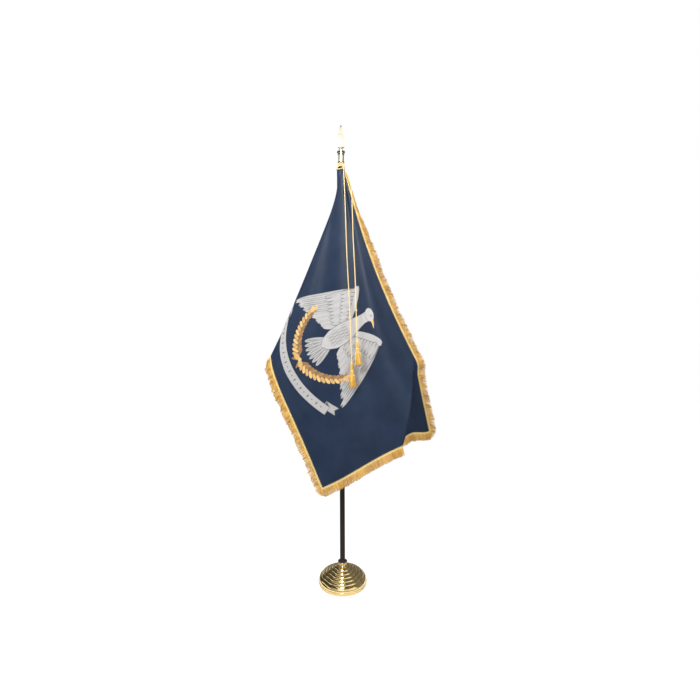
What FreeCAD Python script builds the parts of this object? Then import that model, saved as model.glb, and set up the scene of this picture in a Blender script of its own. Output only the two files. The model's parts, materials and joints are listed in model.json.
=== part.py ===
"""An indoor flag on a jointed pole in a weighted round stand.

The frame is +Z up, in millimetres, with the origin on the floor at the centre of the stand. The
flag's front faces -Y, and its top edge falls to +X.

From the floor up: a weighted stand with a spun brass cover; a loose adapter bush; a two-piece
wooden pole with a screwed brass joint; a sewn flag with fringe on three edges, draped round the
pole; a cord with two tassels; and a spear finial screwed to the pole's top ferrule.
"""
import FreeCAD
import Part
import math
import os

# ---------------------------------------------------------------- driving dimensions, mm
POLE_R = 14.3                 # 1 1/8 inch pole
POLE_FOOT_Z = 4.5             # the pole stands on the stand's bottom plate
POLE_LENGTH = 2443.5          # an 8 foot pole, both pieces together
POLE_TOP_Z = POLE_FOOT_Z + POLE_LENGTH
RUNNING_GAP = 0.1             # radial clearance wherever one piece turns or slides in another

STAND_R = 137.0
RING_COUNT = 5
RING_OUT_R, RING_OUT_Z = 119.0, 45.0
RING_IN_R, RING_IN_Z = 31.0, 95.0
RING_BULGE = 3.6              # how far each rounded ring stands out of the cone
SHELL_DROP = (-0.8, -1.3)     # from the shell's outer face to its inner face: r, z
LIP_Z = 122.0                 # top of the brass neck
SEAT_Z = 117.4                # where the bush's lip rests inside the neck

JOINT_Z = 1230.0              # the face where the pole's two pieces meet
JOINT_STUD_R, JOINT_TRAVEL = 8.0, 25.4
CAP_GRIP, CAP_END_T = 52.0, 4.0   # how far the joint's caps reach along the wood; their ends
PLUG_R, PLUG_DEPTH = 10.5, 40.0   # the well's block, let into the lower pole
FERRULE_R = POLE_R + 1.3
NAIL_R, NAIL_FROM_R, NAIL_AT = 0.9, 8.0, 46.0   # the nails, and how far along the cap they go in
WASHER_T = 1.0

SLEEVE_IN_R, SLEEVE_OUT_R = 20.5, 21.5
HOIST_TOP_Z = 2362.0
HOIST, FLY = 914.0, 1550.0    # a 3 by 5 foot flag
CLOTH_T = 1.2
FRINGE_DEPTH, FRINGE_T = 44.0, 2.4
HOIST_R = 22.6                # where the cloth leaves the sleeve

CORD_R = 2.9
TASSEL_LENGTH = 135.0
TOP_CAP_Z, TOP_CAP_R = 2397.0, 16.6   # the mouth of the pole's top cap, and its radius
TOP_NAIL_Z = TOP_CAP_Z + 9.0
FINIAL_TOP_Z = 2614.0
FINIAL_STUD_R, FINIAL_TRAVEL = 5.0, 12.0
COLLAR_Z, COLLAR_T = POLE_TOP_Z + 8.0, 6.0

# Each row is one straight line of cloth in the drape: how far down the hoist it starts (mm), its
# angle on the flat flag from the top edge, how far it swings right of straight down, how far it
# swings to the front, and where round the pole it starts (0 in front, positive to the right), in
# degrees. Row by row the cloth goes from the top edge, across the front, round the left-hand
# fold and back behind the pole to the hoist.
RULINGS = [
    (0, 0, 21.5, 9.5, 50),
    (20, 12, 13.0, 12.0, 25),
    (50, 24, 2.0, 8.5, -15),
    (100, 36, -10.5, 4.5, -55),
    (150, 46, -20.5, 3.5, -85),
    (170, 52, -22.0, -1.0, -105),
    (190, 63, -14.0, -9.0, -125),
    (200, 76, -3.0, -9.0, -140),
    (220, 90, 0.0, 0.0, -150),
]
# The free corner folds back: between these distances below the top edge the cloth turns away
# from the front, more and more towards the fly.
FLUTE_FROM, FLUTE_TO, FLUTE_RAMP = 285.0, 445.0, 50.0
FLUTE_TURN = math.radians(95)
FLUTE_START, FLUTE_GROWTH = 1015.0, 500.0
ACROSS = (0.93, 0.36)         # the flag's up direction across the front, as x and z
EDGE_BOW, BOW_LENGTH = 70.0, 1475.0   # how far the top edge sags inwards, and over what length
FRONT_LIFT = 105.0            # how far the front's lower middle is drawn up
CREASE_LIFT = 50.0            # and the fly's edge at the folded-back corner

OUT = "parts"


# ---------------------------------------------------------------- small helpers
def vec(x, y, z):
    return FreeCAD.Vector(x, y, z)


def ring(r_out, r_in, z0, z1):
    """A tube about Z, or a plain disc if r_in is 0."""
    body = Part.makeCylinder(r_out, z1 - z0, vec(0, 0, z0))
    return body.cut(Part.makeCylinder(r_in, z1 - z0, vec(0, 0, z0))) if r_in else body


def turned(steps):
    """A solid turned about Z from a closed outline of steps.

    Each step is (r, z) for a straight line to there, or (r_mid, z_mid, r, z) for an arc.
    """
    edges = []
    here = steps[0][-2:]
    for step in steps[1:] + [steps[0][-2:]]:
        there = step[-2:]
        if math.dist(here, there) < 1e-9:
            continue
        a, b = vec(here[0], 0, here[1]), vec(there[0], 0, there[1])
        if len(step) == 4:
            edges.append(Part.Arc(a, vec(step[0], 0, step[1]), b).toShape())
        else:
            edges.append(Part.LineSegment(a, b).toShape())
        here = there
    face = Part.Face(Part.Wire(edges))
    return face.revolve(vec(0, 0, 0), vec(0, 0, 1), 360)


def rod(a, b, r):
    """A round rod from point a to point b."""
    along = b - a
    return Part.makeCylinder(r, along.Length, a, along)


def radial_pins(z, r_from, r_to, r_pin, degrees):
    """Short round pins that point out from the pole's axis at each angle."""
    pins = []
    for angle in degrees:
        way = vec(math.cos(math.radians(angle)), math.sin(math.radians(angle)), 0)
        pins.append(rod(way * r_from + vec(0, 0, z), way * r_to + vec(0, 0, z), r_pin))
    return pins


def save(name, *solids):
    shape = solids[0] if len(solids) == 1 else Part.makeCompound(list(solids))
    if not shape.isValid():
        raise ValueError(name + " is not a valid shape")
    shape.exportStep(os.path.join(OUT, name + ".step"))


# ---------------------------------------------------------------- the drape of the cloth
def ease(x):
    x = min(max(x, 0.0), 1.0)
    return x * x * (3 - 2 * x)


def slope(column, i):
    """The second-order slope of a RULINGS column at row i, where rows are one apart."""
    values = [row[column] for row in RULINGS]
    if i == 0:
        return values[1] - values[0]
    if i == len(values) - 1:
        return values[-1] - values[-2]
    return (values[i + 1] - values[i - 1]) / 2


def ruling(t):
    """The five ruling values at t rows down the table, smoothly between the rows."""
    i = min(int(t), len(RULINGS) - 2)
    f = t - i
    found = []
    for column in range(5):
        a, b = RULINGS[i][column], RULINGS[i + 1][column]
        found.append((2 * f**3 - 3 * f**2 + 1) * a + (f**3 - 2 * f**2 + f) * slope(column, i)
                     + (3 * f**2 - 2 * f**3) * b + (f**3 - f**2) * slope(column, i + 1))
    return found


def ruling_at(u, v):
    """Which line of cloth passes through the flat flag's point (u, v)."""
    low, high = 0.0, len(RULINGS) - 1.0
    for _ in range(30):
        middle = (low + high) / 2
        start, angle = ruling(middle)[:2]
        angle = math.radians(angle)
        if (v - start) * math.cos(angle) > u * math.sin(angle):
            low = middle
        else:
            high = middle
    return (low + high) / 2


def flute(u, v):
    """How far the folded-back corner moves a point: across the front, and to the rear."""
    turn = FLUTE_TURN * ease((u - FLUTE_START) / FLUTE_GROWTH)
    across = rear = 0.0
    parts = 90
    step = (HOIST - v) / parts
    for k in range(parts):
        at = v + step * (k + 0.5)
        angle = (turn * ease((at - FLUTE_FROM) / FLUTE_RAMP)
                 * ease((FLUTE_TO - at) / FLUTE_RAMP))
        across -= (1 - math.cos(angle)) * step
        rear += math.sin(angle) * step
    return across, rear


def cloth(u, v):
    """Where the flat flag's point hangs: u along the fly from the pole, v down the hoist."""
    u = max(u, 0.1)
    t = ruling_at(u, v)
    start, _, right, front, around = ruling(t)
    s = math.hypot(u, v - start)
    way = vec(math.tan(math.radians(right)), -math.tan(math.radians(front)), -1).normalize()
    around = math.radians(around)
    foot = vec(HOIST_R * math.sin(around), -HOIST_R * math.cos(around), HOIST_TOP_Z - start)
    across, rear = flute(u, v)
    last = len(RULINGS) - 1.0
    bow = EDGE_BOW * math.sin(math.pi * min(s / BOW_LENGTH, 1)) * ease(1 - t / last / 0.3)
    lift = (FRONT_LIFT * ease((s - 500) / 1200) * ease((t / last - 0.05) / 0.3)
            * ease((0.62 - t / last) / 0.1))
    lift += CREASE_LIFT * ease((u - 1000) / 500) * ease((v - 5) / 200) * ease((950 - v) / 545)
    return foot + way * s + vec(ACROSS[0] * across - bow, 0.9 * rear, ACROSS[1] * across + lift)


def spread(low, high, count):
    return [low + (high - low) * k / (count - 1) for k in range(count)]


def sheet(rows, thickness):
    """A thin solid on a grid of points, as two smooth faces and four narrow sides."""
    last_i, last_j = len(rows) - 1, len(rows[0]) - 1
    front, back = [], []
    for i, row in enumerate(rows):
        front.append([])
        back.append([])
        for j, point in enumerate(row):
            along = rows[min(i + 1, last_i)][j] - rows[max(i - 1, 0)][j]
            over = row[min(j + 1, last_j)] - row[max(j - 1, 0)]
            normal = along.cross(over).normalize() * (thickness / 2)
            front[i].append(point + normal)
            back[i].append(point - normal)
    faces, borders = [], []
    for grid in (front, back):
        surface = Part.BSplineSurface()
        surface.interpolate(grid)
        faces.append(surface.toShape())
        u0, u1, v0, v1 = surface.bounds()
        borders.append([surface.uIso(u0).toShape(), surface.uIso(u1).toShape(),
                        surface.vIso(v0).toShape(), surface.vIso(v1).toShape()])
    same_direction = 1
    for one, other in zip(*borders):
        faces.append(Part.makeRuledSurface(one, other, same_direction))
    shell = Part.makeShell(faces)
    shell.sewShape()
    solid = Part.Solid(shell)
    if solid.Volume < 0:
        solid.reverse()
    return solid


def edge_fringe(points, insides):
    """A hanging strip below an edge of the cloth; insides are points just inside that edge."""
    rows = []
    for point, inside in zip(points, insides):
        out = (point - inside).normalize()
        way = (out + vec(0, 0, -0.6)).normalize()
        rows.append([point + out * 0.8 + way * d for d in spread(FRINGE_T / 2, FRINGE_DEPTH, 4)])
    return sheet(rows, FRINGE_T)


# ---------------------------------------------------------------- the stand
def ring_steps(shift=(0.0, 0.0)):
    """The cover's rounded rings as outline steps, from the outermost groove inwards."""
    steps = []
    run = (RING_IN_R - RING_OUT_R) / RING_COUNT
    rise = (RING_IN_Z - RING_OUT_Z) / RING_COUNT
    size = math.hypot(run, rise)
    out_r, out_z = rise / size * RING_BULGE, -run / size * RING_BULGE
    for k in range(RING_COUNT):
        r, z = RING_OUT_R + run * k + shift[0], RING_OUT_Z + rise * k + shift[1]
        # The fullest point sits nearer the outside, so each ring is steep outside and flat inside.
        steps.append((r + 0.4 * run + out_r, z + 0.4 * rise + out_z, r + run, z + rise))
    return steps


def base_shell():
    """The spun brass cover: a foot band, a bead, a rounded shoulder, the rings and a flat top."""
    wall = 1.4
    dr, dz = SHELL_DROP
    outer = [(STAND_R - 3.5, 1.0), (STAND_R - 2.5, 14.0),
             (STAND_R + 0.3, 16.0, STAND_R - 1.0, 18.5),
             (131.5, 34.0, RING_OUT_R, RING_OUT_Z)]
    outer += ring_steps() + [(20.5, RING_IN_Z), (20.5, RING_IN_Z + dz)]
    inner = [(RING_IN_R + dr, RING_IN_Z + dz)]
    for step, start in zip(reversed(ring_steps(SHELL_DROP)), reversed(ring_starts())):
        inner.append((step[0], step[1], start[0] + dr, start[1] + dz))
    inner += [(130.2, 33.2, STAND_R - 1.0 - wall, 18.0), (STAND_R - 2.5 - wall, 14.0),
              (STAND_R - 3.5 - wall, 1.0)]
    return turned(outer + inner)


def ring_starts():
    """Where each ring of the cover starts, from the outside in."""
    run = (RING_IN_R - RING_OUT_R) / RING_COUNT
    rise = (RING_IN_Z - RING_OUT_Z) / RING_COUNT
    return [(RING_OUT_R + run * k, RING_OUT_Z + rise * k) for k in range(RING_COUNT)]


def ballast():
    """The cast-iron weight under the cover: a disc with a tall hub that props the socket tube."""
    return turned([(19.1, 4.5), (129.0, 4.5), (129.0, 15.0), (127.0, 17.0), (48.0, 19.0),
                   (40.0, 26.0), (38.0, 60.0), (19.1, 60.0)])


def bottom_plate():
    """The steel plate that closes the stand, with the edge turned up inside the foot band."""
    return turned([(0.0, 3.0), (132.0, 3.0), (132.0, 12.0), (130.6, 12.0), (130.6, 4.5), (0.0, 4.5)])


def socket_tube():
    """The steel tube that holds the pole, welded to the bottom plate."""
    return ring(19.0, 17.0, 4.5, 116.0)


def neck_collar():
    """The turned brass neck, screwed down over the socket tube on to the cover."""
    return turned([(19.05, RING_IN_Z), (31.5, RING_IN_Z), (32.6, 97.0, 31.0, 99.0),
                   (26.0, 100.5, 23.4, 105.0), (22.0, 111.0, 24.0, 117.0), (25.0, 118.5),
                   (27.0, 120.3, 26.0, LIP_Z), (24.2, LIP_Z), (21.5, 119.0, 19.4, SEAT_Z),
                   (17.05, SEAT_Z), (17.05, 116.0), (19.05, 116.0)])


def adapter_bush():
    """The loose moulded bush that makes the socket fit this pole; its lip sits in the neck."""
    bore = POLE_R + RUNNING_GAP
    return turned([(bore, 14.0), (16.9, 14.0), (16.9, SEAT_Z), (19.2, SEAT_Z),
                   (23.0, LIP_Z - 0.4), (23.0, LIP_Z + 1.4), (18.5, LIP_Z + 3.0, bore, LIP_Z + 7.0)])


# ---------------------------------------------------------------- the pole
def lower_staff():
    staff = ring(POLE_R, 0, POLE_FOOT_Z, JOINT_Z - CAP_END_T)
    staff = staff.cut(ring(PLUG_R, 0, JOINT_Z - PLUG_DEPTH, JOINT_Z - CAP_END_T))
    for pin in socket_nails():
        staff = staff.cut(pin)
    return staff


def joint_socket():
    """The lower half of the pole joint: a brass cap with a threaded well let into the wood."""
    well_depth = JOINT_TRAVEL + 6.6
    end = JOINT_Z - CAP_END_T
    cap = turned([(0.0, JOINT_Z - PLUG_DEPTH), (PLUG_R, JOINT_Z - PLUG_DEPTH), (PLUG_R, end),
                  (POLE_R, end), (POLE_R, JOINT_Z - CAP_GRIP), (FERRULE_R, JOINT_Z - CAP_GRIP),
                  (FERRULE_R, JOINT_Z), (JOINT_STUD_R, JOINT_Z),
                  (JOINT_STUD_R, JOINT_Z - well_depth), (0.0, JOINT_Z - well_depth)])
    for pin in socket_nails():
        cap = cap.cut(pin)
    return cap


def socket_nails():
    return radial_pins(JOINT_Z - NAIL_AT, NAIL_FROM_R, FERRULE_R, NAIL_R, (0, 180))


def joint_washer():
    """The fibre washer that the two brass halves close on."""
    return ring(FERRULE_R - 0.4, JOINT_STUD_R + 1, JOINT_Z, JOINT_Z + WASHER_T)


def joint_plug():
    """The upper half of the pole joint: a brass cap with a threaded stud."""
    foot = JOINT_Z + WASHER_T
    tip = foot - JOINT_TRAVEL
    stud_r = JOINT_STUD_R - RUNNING_GAP
    cap = turned([(0.0, tip), (stud_r - 1, tip), (stud_r, tip + 1), (stud_r, foot),
                  (FERRULE_R, foot), (FERRULE_R, foot + CAP_GRIP), (POLE_R, foot + CAP_GRIP),
                  (POLE_R, foot + CAP_END_T), (0.0, foot + CAP_END_T)])
    for pin in plug_nails():
        cap = cap.cut(pin)
    return cap


def plug_nails():
    return radial_pins(JOINT_Z + WASHER_T + NAIL_AT, NAIL_FROM_R, FERRULE_R, NAIL_R, (0, 180))


def upper_staff():
    staff = ring(POLE_R, 0, JOINT_Z + WASHER_T + CAP_END_T, POLE_TOP_Z)
    for pin in plug_nails() + ferrule_nails() + tab_screws():
        staff = staff.cut(pin)
    return staff


def top_ferrule():
    """The long brass cap on the pole's top, with a bead at its mouth and the finial's stud."""
    top = COLLAR_Z
    stud_top = COLLAR_Z + COLLAR_T + FINIAL_TRAVEL
    stud_r = FINIAL_STUD_R - RUNNING_GAP
    mouth = TOP_CAP_Z
    cap = turned([(POLE_R, mouth), (17.6, mouth), (19.4, mouth + 2.5, 17.6, mouth + 5),
                  (TOP_CAP_R, mouth + 7), (TOP_CAP_R, mouth + 44), (17.4, mouth + 46),
                  (19.6, mouth + 49, 17.4, mouth + 52), (16.8, top), (stud_r, top),
                  (stud_r, stud_top - 1), (stud_r - 1.1, stud_top), (0.0, stud_top),
                  (0.0, POLE_TOP_Z), (POLE_R, POLE_TOP_Z)])
    for pin in ferrule_nails():
        cap = cap.cut(pin)
    return cap


def ferrule_nails():
    return radial_pins(TOP_NAIL_Z, NAIL_FROM_R, TOP_CAP_R, NAIL_R, (90, 270))


# ---------------------------------------------------------------- the finial
def finial_collar():
    """The loose turned ring that the spear tightens on."""
    foot = COLLAR_Z
    top = COLLAR_Z + COLLAR_T
    return turned([(FINIAL_STUD_R + 0.4, foot), (19.0, foot), (23.4, (foot + top) / 2, 19.0, top),
                   (FINIAL_STUD_R + 0.4, top)])


def finial_spear():
    """A flat spear head with a central ridge on a turned boss, drilled for the stud."""
    foot = COLLAR_Z + COLLAR_T
    boss = turned([(0.0, foot), (13.5, foot), (15.0, foot + 3, 12.5, foot + 7),
                   (7.0, foot + 10, 8.5, foot + 16), (0.0, foot + 16)])
    shoulder = foot + 26
    half_width, half_ridge = 22.5, 5.0
    belly = shoulder + 34
    sections = []
    for z, width in ((foot + 11, 6.0), (foot + 17, 9.5), (shoulder, 20.0), (shoulder + 12, half_width),
                     (belly, half_width - 1.5), (belly + 30, 15.5), (FINIAL_TOP_Z - 12, 6.5),
                     (FINIAL_TOP_Z, 0.8)):
        ridge = min(half_ridge, 0.35 * width + 0.7)
        edge = min(0.9, 0.3 * width)
        outline = [(-width, -edge), (0, -ridge), (width, -edge), (width, edge), (0, ridge),
                   (-width, edge)]
        corners = [vec(x, y, z) for x, y in outline]
        sections.append(Part.makePolygon(corners + corners[:1]))
    blade = Part.makeLoft(sections, True, True)
    well = ring(FINIAL_STUD_R, 0, foot, foot + FINIAL_TRAVEL + 1.5)
    return boss.fuse(blade).cut(well).removeSplitter()


# ---------------------------------------------------------------- the flag
def flag_sleeve():
    """The sewn pole hem: a loose cloth tube round the pole."""
    return ring(SLEEVE_OUT_R, SLEEVE_IN_R, HOIST_TOP_Z - HOIST, HOIST_TOP_Z)


def flag_cloth():
    rows = [[cloth(u, v) for v in spread(0, HOIST, 34)] for u in spread(0.5, FLY, 44)]
    return sheet(rows, CLOTH_T)


def fringe_top():
    along = spread(30, FLY, 36)
    return edge_fringe([cloth(u, 0) for u in along], [cloth(u, 12) for u in along])


def fringe_fly():
    down = spread(0, HOIST, 34)
    return edge_fringe([cloth(FLY, v) for v in down], [cloth(FLY - 12, v) for v in down])


def fringe_bottom():
    along = spread(40, FLY, 40)
    return edge_fringe([cloth(u, HOIST) for u in along], [cloth(u, HOIST - 12) for u in along])


TAB_ZS = (HOIST_TOP_Z - 22, HOIST_TOP_Z - HOIST + 22)
TAB_ANGLE, TAB_SPAN = 210, 70      # degrees round the pole: where it is centred, how far it goes
TAB_R, TAB_HEIGHT, SCREW_R = 17.0, 28.0, 1.9


def tab(z):
    """A leather tab curved round the pole inside the sleeve, with a hole for its screw."""
    bend = ring(TAB_R, TAB_R - 1.8, z - TAB_HEIGHT / 2, z + TAB_HEIGHT / 2)
    wedge = Part.makeCylinder(30, TAB_HEIGHT, vec(0, 0, z - TAB_HEIGHT / 2), vec(0, 0, 1), TAB_SPAN)
    wedge.rotate(vec(0, 0, 0), vec(0, 0, 1), TAB_ANGLE - TAB_SPAN / 2)
    strap = bend.common(wedge)
    return strap.cut(radial_pins(z, 10, 25, SCREW_R + 0.5, (TAB_ANGLE,))[0])


def tab_screws():
    """Round-headed screws in the pole that the leather tabs hook over."""
    screws = []
    for z in TAB_ZS:
        shank = radial_pins(z, 4.0, TAB_R + 0.3, SCREW_R, (TAB_ANGLE,))[0]
        head = radial_pins(z, TAB_R + 0.3, TAB_R + 2.3, 4.4, (TAB_ANGLE,))[0]
        screws.append(shank.fuse(head))
    return screws


# ---------------------------------------------------------------- the cord and tassels
# Each strand hangs straight from its top point to where its tassel starts.
STRAND_TOPS = {"left": vec(14, -35, 2356), "right": vec(58, -66, 2236)}
STRAND_FEET = {"left": vec(52, -222, 1283), "right": vec(81, -224, 1398)}
KNOT_ON_RIGHT = 0.82          # how far down the right strand its small knot sits
CAP_END, HEAD_END, BAND_END = -18.0, -72.0, -79.0   # where a tassel's parts end, below its top
NECK_R, RIM_R = 4.6, 12.0     # a tassel's radius under its cap and at the top of its skirt


def cord_loop():
    """The cord's turns round the pole above the sleeve, its knot, and the right strand's start."""
    turns = [Part.makeTorus(POLE_R + CORD_R + 0.2, CORD_R, vec(0, 0, 2369.5 + 5.4 * k))
             for k in range(5)]
    knot = Part.makeSphere(8.5, vec(13, -20, 2376))
    to_left = rod(vec(13, -22, 2374), STRAND_TOPS["left"] + vec(0, 0, 2), CORD_R)
    to_right = rod(vec(15, -22, 2374), vec(34, -46, 2320), CORD_R)
    bend = Part.makeSphere(CORD_R, vec(34, -46, 2320))
    over = rod(vec(34, -46, 2320), STRAND_TOPS["right"] + vec(0, 0, 2), CORD_R)
    loop = turns[0].multiFuse(turns[1:] + [knot, to_left, to_right, bend, over])
    return loop.removeSplitter()


def strand(side):
    return rod(STRAND_TOPS[side], STRAND_FEET[side], CORD_R)


def strand_knot():
    """The small knot part-way down the right strand."""
    top, foot = STRAND_TOPS["right"], STRAND_FEET["right"]
    way = (foot - top).normalize()
    middle = top + (foot - top) * KNOT_ON_RIGHT
    ball = Part.makeSphere(5.5, middle)
    return ball.cut(rod(middle - way * 10, middle + way * 10, CORD_R))


def along_strand(shape, side):
    """Moves a shape that hangs down from the origin to the foot of a strand."""
    way = (STRAND_FEET[side] - STRAND_TOPS[side]).normalize()
    turn = FreeCAD.Rotation(vec(0, 0, -1), way)
    placed = shape.copy()
    placed.Placement = FreeCAD.Placement(STRAND_FEET[side] + way * 0.4, turn)
    return placed


def tassel_cap(side):
    """The small wrapped cap where the cord enters the tassel, with a cone top that can rock."""
    cap = turned([(0.0, 0.0), (4.0, -1.5), (7.4, -9.0, NECK_R, CAP_END), (0.0, CAP_END)])
    return along_strand(cap, side)


def tassel_head(side):
    """The bell-shaped head, a wooden form wrapped in thread."""
    head = turned([(0.0, CAP_END), (NECK_R, CAP_END), (9.6, -28.0, 9.2, -44.0),
                   (9.0, -60.0, RIM_R, HEAD_END), (0.0, HEAD_END)])
    return along_strand(head, side)


def tassel_band(side):
    """The looped ring between the head and the skirt."""
    band = turned([(0.0, HEAD_END), (RIM_R, HEAD_END),
                   (RIM_R + 2.6, (HEAD_END + BAND_END) / 2, RIM_R, BAND_END), (0.0, BAND_END)])
    return along_strand(band, side)


def tassel_skirt(side):
    """The skirt of hanging twisted threads, as one full form."""
    skirt = turned([(0.0, BAND_END), (RIM_R, BAND_END), (15.0, -105.0, 19.5, -TASSEL_LENGTH),
                    (0.0, -TASSEL_LENGTH)])
    return along_strand(skirt, side)


# ---------------------------------------------------------------- build every piece
def main():
    os.makedirs(OUT, exist_ok=True)
    save("floor_pad", ring(127.0, 0, 0.0, 3.0))
    save("bottom_plate", bottom_plate())
    save("ballast", ballast())
    save("base_shell", base_shell())
    save("socket_tube", socket_tube())
    save("neck_collar", neck_collar())
    save("adapter_bush", adapter_bush())

    save("lower_staff", lower_staff())
    save("joint_socket", joint_socket())
    save("socket_nails", *socket_nails())
    save("joint_washer", joint_washer())
    save("joint_plug", joint_plug())
    save("plug_nails", *plug_nails())
    save("upper_staff", upper_staff())
    save("top_ferrule", top_ferrule())
    save("ferrule_nails", *ferrule_nails())
    save("finial_collar", finial_collar())
    save("finial_spear", finial_spear())

    save("flag_sleeve", flag_sleeve())
    save("flag_cloth", flag_cloth())
    save("fringe_top", fringe_top())
    save("fringe_fly", fringe_fly())
    save("fringe_bottom", fringe_bottom())
    save("tab_upper", tab(TAB_ZS[0]))
    save("tab_lower", tab(TAB_ZS[1]))
    save("tab_screws", *tab_screws())

    save("cord_loop", cord_loop())
    save("strand_knot", strand_knot())
    for side in ("left", "right"):
        save("strand_" + side, strand(side))
        save("tassel_cap_" + side, tassel_cap(side))
        save("tassel_head_" + side, tassel_head(side))
        save("tassel_band_" + side, tassel_band(side))
        save("tassel_skirt_" + side, tassel_skirt(side))


main()
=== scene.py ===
"""Looks for the draped indoor flag on its stand: soft goods, cord and tassels, materials and light.

Metres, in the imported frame: +Z up, origin on the floor under the pole, front towards -Y.
"""

import bpy
import json
import numpy as np
from math import ceil, cos, exp, pi, radians, sin, sqrt, tau
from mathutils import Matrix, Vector
from mathutils.geometry import delaunay_2d_cdt


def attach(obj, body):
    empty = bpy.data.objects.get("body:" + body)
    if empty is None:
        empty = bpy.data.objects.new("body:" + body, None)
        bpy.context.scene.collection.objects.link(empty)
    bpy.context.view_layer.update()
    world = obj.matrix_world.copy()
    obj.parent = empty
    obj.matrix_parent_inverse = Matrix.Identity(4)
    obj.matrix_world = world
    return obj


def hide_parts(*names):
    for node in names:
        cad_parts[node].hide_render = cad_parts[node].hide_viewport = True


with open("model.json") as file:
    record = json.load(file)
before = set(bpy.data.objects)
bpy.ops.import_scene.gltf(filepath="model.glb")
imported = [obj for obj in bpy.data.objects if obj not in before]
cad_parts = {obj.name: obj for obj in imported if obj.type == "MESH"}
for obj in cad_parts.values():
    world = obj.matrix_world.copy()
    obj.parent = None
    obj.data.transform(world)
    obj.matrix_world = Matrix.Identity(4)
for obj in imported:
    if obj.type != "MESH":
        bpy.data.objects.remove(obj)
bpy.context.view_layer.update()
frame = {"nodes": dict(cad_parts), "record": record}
RNG = np.random.default_rng(11)

# ------ sizes shared with the frame
MM = 0.001
POLE_R = 14.3 * MM
HOIST_TOP_Z = 2.362            # top of the flag's sleeve
HOIST, FLY = 0.914, 1.55       # height and length of the flat flag
HOIST_R = 22.2 * MM            # where the cloth leaves the sleeve
SLEEVE_R = 21.2 * MM
CORD_R = 2.9 * MM
CLOTH_HALF = 0.35 * MM         # half the cloth's thickness
FRINGE = 40.5 * MM             # length of the fringe's threads
DOWN = np.array([0, 0, -1.0])


# ------ node materials
class Nodes:
    """Adds nodes to a tree. A value that comes out of another node is linked, any other is set."""

    def __init__(self, tree):
        self.tree = tree

    def feed(self, made, inputs):
        for key, value in inputs.items():
            if hasattr(value, "is_output"):
                self.tree.links.new(value, made.inputs[key])
            else:
                made.inputs[key].default_value = value

    def node(self, kind, inputs=None, **settings):
        made = self.tree.nodes.new("ShaderNode" + kind)
        for key, value in settings.items():
            setattr(made, key, value)
        self.feed(made, inputs or {})
        return made

    def math(self, operation, *values):
        return self.node("Math", dict(enumerate(values)), operation=operation).outputs[0]

    def mul(self, a, b):
        return self.math("MULTIPLY", a, b)

    def mul_add(self, a, b, c):
        return self.math("MULTIPLY_ADD", a, b, c)

    def split(self, vector):
        return self.node("SeparateXYZ", {0: vector}).outputs

    def scaled(self, vector, factors):
        return self.node("VectorMath", {0: vector, 1: factors}, operation="MULTIPLY").outputs[0]

    def mix(self, share, a, b):
        return self.node("Mix", {"Factor": share, 6: a, 7: b}, data_type="RGBA").outputs[2]

    def noise(self, vector, scale, detail=3.0, rough=0.5):
        values = {"Vector": vector, "Scale": scale, "Detail": detail, "Roughness": rough}
        return self.node("TexNoise", values).outputs["Fac"]

    def ramp(self, value, *stops):
        made = self.node("ValToRGB", {"Fac": value})
        points = made.color_ramp.elements
        while len(points) < len(stops):
            points.new(0.5)
        for point, (position, colour) in zip(points, stops):
            point.position = position
            point.color = (*colour, 1.0)
        return made.outputs["Color"]

    def bump(self, height, strength, distance, normal=None):
        made = self.node("Bump", {"Height": height, "Strength": strength, "Distance": distance})
        if normal is not None:
            self.feed(made, {"Normal": normal})
        return made.outputs["Normal"]


class Look(Nodes):
    """A new material; give() sets its shader's inputs."""

    def __init__(self, name):
        self.material = bpy.data.materials.new(name)
        self.material.use_nodes = True
        super().__init__(self.material.node_tree)

    def place(self):
        return self.node("TexCoord").outputs["Object"]

    def flag_uv(self):
        """The flag's own coordinates in metres: u along the fly, v down the hoist."""
        uv = self.node("UVMap", uv_map="flag").outputs[0]
        u, v, _ = self.split(uv)
        return uv, u, v

    def tone(self):
        """A mesh's own shade, from 0 to 1."""
        return self.node("Attribute", attribute_name="tone", attribute_type="GEOMETRY").outputs["Fac"]

    def give(self, inputs):
        self.feed(self.tree.nodes["Principled BSDF"], inputs)
        return self.material


def metal(name, dark, light, rough, grooves, wave=0.0):
    """Metal with patchy colour and roughness and fine turned grooves about Z; wave dents it softly."""
    look = Look(name)
    where = look.place()
    patches = look.noise(where, 35.0, 5.0, 0.6)
    smudge = look.noise(where, 90.0, 4.0, 0.7)
    low, high = rough
    normal = look.bump(look.noise(where, 28.0, 2.0, 0.4), wave, 0.002) if wave else None
    x, y, z = look.split(where)
    radius = look.math("SQRT", look.mul_add(x, x, look.mul(y, y)))
    along = look.mul(look.math("ADD", radius, z), 2600.0)
    lines = look.node("TexNoise", {"W": along, "Scale": 1.0, "Detail": 2.0}, noise_dimensions="1D")
    return look.give({
        "Base Color": look.ramp(patches, (0.3, dark), (0.7, light)), "Metallic": 1.0,
        "Roughness": look.mul_add(smudge, high - low, low),
        "Normal": look.bump(lines.outputs["Fac"], grooves, 0.0003, normal)})


def stained_wood(name):
    """Dark ebonised wood under satin varnish, with long grain along the pole."""
    look = Look(name)
    where = look.place()
    grain = look.noise(look.scaled(where, (160.0, 160.0, 3.0)), 1.0, 6.0, 0.65)
    pores = look.noise(look.scaled(where, (900.0, 900.0, 18.0)), 1.0, 2.0, 0.5)
    colour = look.ramp(grain, (0.25, (0.010, 0.008, 0.007)), (0.55, (0.022, 0.016, 0.013)),
                       (0.8, (0.045, 0.027, 0.019)))
    return look.give({
        "Base Color": colour, "Roughness": look.mul_add(grain, 0.25, 0.42),
        "Specular IOR Level": 0.22,
        "Normal": look.bump(pores, 0.25, 0.0003, look.bump(grain, 0.2, 0.0006))})


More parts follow.
